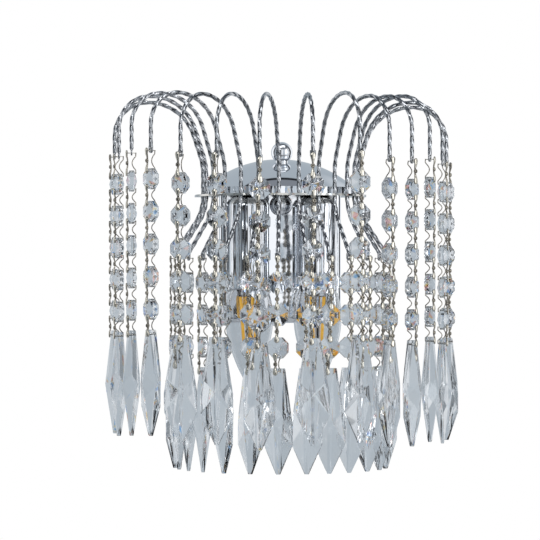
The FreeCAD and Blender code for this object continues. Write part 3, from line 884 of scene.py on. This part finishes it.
# Tones round the part: from the front (0.0) by the left, the wall side (0.5) and the right to the front.
ROUND_BANDS = (
    (0.0, "white"), (0.02, "white"), (0.04, "dark"), (0.115, "dark"), (0.15, "deep"), (0.24, "sky"),
    (0.255, "dark"), (0.29, "dark"), (0.31, "white"), (0.38, "white"), (0.42, "sky"), (0.56, "sky"),
    (0.60, "white"), (0.67, "white"), (0.685, "dark"), (0.745, "dark"), (0.775, "white"), (0.92, "white"),
    (0.95, "pale"), (0.975, "white"), (1.0, "white"))
# Tones in steep directions, from the front (0.0) to the wall (1.0).
HIGH_BANDS = (
    (0.0, "room"), (0.52, "room"), (0.57, "haze"), (0.655, "haze"), (0.662, "dark"), (0.685, "dark"),
    (0.694, "sky"), (1.0, "sky"))
STEEP_SPREAD = (0.35, 0.75)
SOFTEN_SHARE = 0.6
PALE_SHARE = 1.25
DEEP_SHARE = 0.45
AIM = (0, -0.06, -0.05)
AXIS_Y = -0.014
FLOOR_HALF = 1.5
SENSOR_WIDTH = 36.0
CLIP_END = 20.0


def make_world(studio):
    """Studio in the reflections: grey-blue walls, white panels and dark gaps; plain white behind the part."""
    world = bpy.data.worlds.new("studio")
    bpy.context.scene.world = world
    world.use_nodes = True
    tree = world.node_tree
    sky = tuple(studio.sky)
    tones = {"dark": (0.02, 0.022, 0.026), "white": (1.15, 1.16, 1.18),
             "room": (0.09, 0.10, 0.12), "haze": (0.25, 0.27, 0.30),
             "sky": sky, "pale": tuple(c * PALE_SHARE for c in sky),
             "deep": tuple(c * DEEP_SHARE for c in sky)}
    back = set_inputs(tree.nodes["Background"], Strength=1.0)
    place = add_node(tree, "TexCoord")
    split = add_node(tree, "SeparateXYZ")
    angle = add_math(tree, "ARCTAN2")
    turn = add_range(tree, (-math.pi, math.pi))
    round_ramp = add_ramp(tree, [(at, tones[tone]) for at, tone in ROUND_BANDS])
    high_ramp = add_ramp(tree, [(at, tones[tone]) for at, tone in HIGH_BANDS])
    depth = add_range(tree, (-1.0, 1.0))
    steep = add_math(tree, "ABSOLUTE")
    fade = add_range(tree, STEEP_SPREAD)
    calm = add_mix(tree)
    path = add_node(tree, "LightPath")
    soften = add_math(tree, "MULTIPLY")
    soften.inputs[1].default_value = SOFTEN_SHARE
    through = set_inputs(add_mix(tree), B=(*sky, 1.0))
    seen = set_inputs(add_mix(tree), B=(1.0, 1.0, 1.0, 1.0))
    join(tree, (place, "Generated", split, "Vector"), (split, "X", angle, 0), (split, "Y", angle, 1),
         (angle, "Value", turn, "Value"), (turn, "Result", round_ramp, "Fac"),
         (split, "Y", depth, "Value"), (depth, "Result", high_ramp, "Fac"),
         (split, "Z", steep, 0), (steep, "Value", fade, "Value"), (fade, "Result", calm, "Factor"),
         (round_ramp, "Color", calm, "A"), (high_ramp, "Color", calm, "B"),
         (path, "Is Transmission Ray", soften, 0), (soften, "Value", through, "Factor"),
         (calm, "Result", through, "A"), (through, "Result", seen, "A"),
         (path, "Is Camera Ray", seen, "Factor"), (seen, "Result", back, "Color"))


def add_area_light(name, spot, size, power):
    """White panel that faces the part's middle."""
    data = bpy.data.lights.new(name, "AREA")
    data.shape = "RECTANGLE"
    data.size, data.size_y = size
    data.energy = power
    lamp = bpy.data.objects.new(name, data)
    lamp.location = spot
    lamp.rotation_euler = (Vector(AIM) - Vector(spot)).to_track_quat("-Z", "Y").to_euler()
    bpy.context.scene.collection.objects.link(lamp)


class SCONCE_OT_studio(bpy.types.Operator):
    """Set up the surroundings, lights, floor and camera"""

    bl_idname = "sconce.studio"
    bl_label = "Studio"

    def execute(self, context):
        studio = context.scene.sconce_studio
        scene = context.scene
        scene.view_settings.view_transform = "Standard"
        scene.view_settings.look = "None"
        make_world(studio)
        add_area_light("key panel", (-1.1, -1.6, 0.9), (0.8, 1.2), studio.key_power)
        add_area_light("fill panel", (1.3, -1.2, 0.2), (0.5, 1.4), studio.fill_power)
        add_area_light("top panel", (0.1, -0.5, 1.3), (1.2, 0.5), studio.fill_power)
        floor_mesh = bmesh.new()
        bmesh.ops.create_grid(floor_mesh, x_segments=1, y_segments=1, size=FLOOR_HALF)
        shader = new_material("studio floor")[1]
        set_inputs(shader, Base_Color=(0.86, 0.86, 0.86, 1.0), Roughness=0.7)
        floor = new_object("studio floor", floor_mesh, ["studio floor"])
        floor.location.z = studio.floor_z
        azimuth = math.radians(studio.azimuth)
        towards = Vector((math.sin(azimuth), -math.cos(azimuth), 0))
        right = Vector((math.cos(azimuth), math.sin(azimuth), 0))
        data = bpy.data.cameras.new("camera")
        data.sensor_width = SENSOR_WIDTH
        data.lens = studio.lens
        data.clip_end = CLIP_END
        camera = bpy.data.objects.new("camera", data)
        axis = Vector((0, AXIS_Y, studio.height))
        camera.location = axis + towards * studio.distance - right * studio.sideways
        camera.rotation_euler = (math.pi / 2, 0, azimuth)
        scene.collection.objects.link(camera)
        scene.camera = camera
        return {"FINISHED"}


class SCONCE_PT_panel(bpy.types.Panel):
    """Settings and steps of the sconce, in the sidebar"""

    bl_label = "Crystal wall sconce"
    bl_idname = "SCONCE_PT_panel"
    bl_space_type = "VIEW_3D"
    bl_region_type = "UI"
    bl_category = "Sconce"

    def draw(self, context):
        for group in (context.scene.sconce_look, context.scene.sconce_studio):
            for name in group.__annotations__:
                self.layout.prop(group, name)
        for operator in OPERATORS:
            self.layout.operator(operator.bl_idname)


OPERATORS = (SCONCE_OT_materials, SCONCE_OT_rods, SCONCE_OT_strands, SCONCE_OT_fitting, SCONCE_OT_filaments,
             SCONCE_OT_studio)
CLASSES = (SconceLook, SconceStudio, *OPERATORS, SCONCE_PT_panel)


def register():
    for cls in CLASSES:
        bpy.utils.register_class(cls)
    bpy.types.Scene.sconce_look = bpy.props.PointerProperty(type=SconceLook)
    bpy.types.Scene.sconce_studio = bpy.props.PointerProperty(type=SconceStudio)


def unregister():
    del bpy.types.Scene.sconce_look
    del bpy.types.Scene.sconce_studio
    for cls in reversed(CLASSES):
        bpy.utils.unregister_class(cls)


def main():
    register()
    bpy.ops.sconce.materials()
    bpy.ops.sconce.rods()
    bpy.ops.sconce.strands()
    bpy.ops.sconce.fitting()
    bpy.ops.sconce.filaments()
    bpy.ops.sconce.studio()


if __name__ == "__main__":
    main()
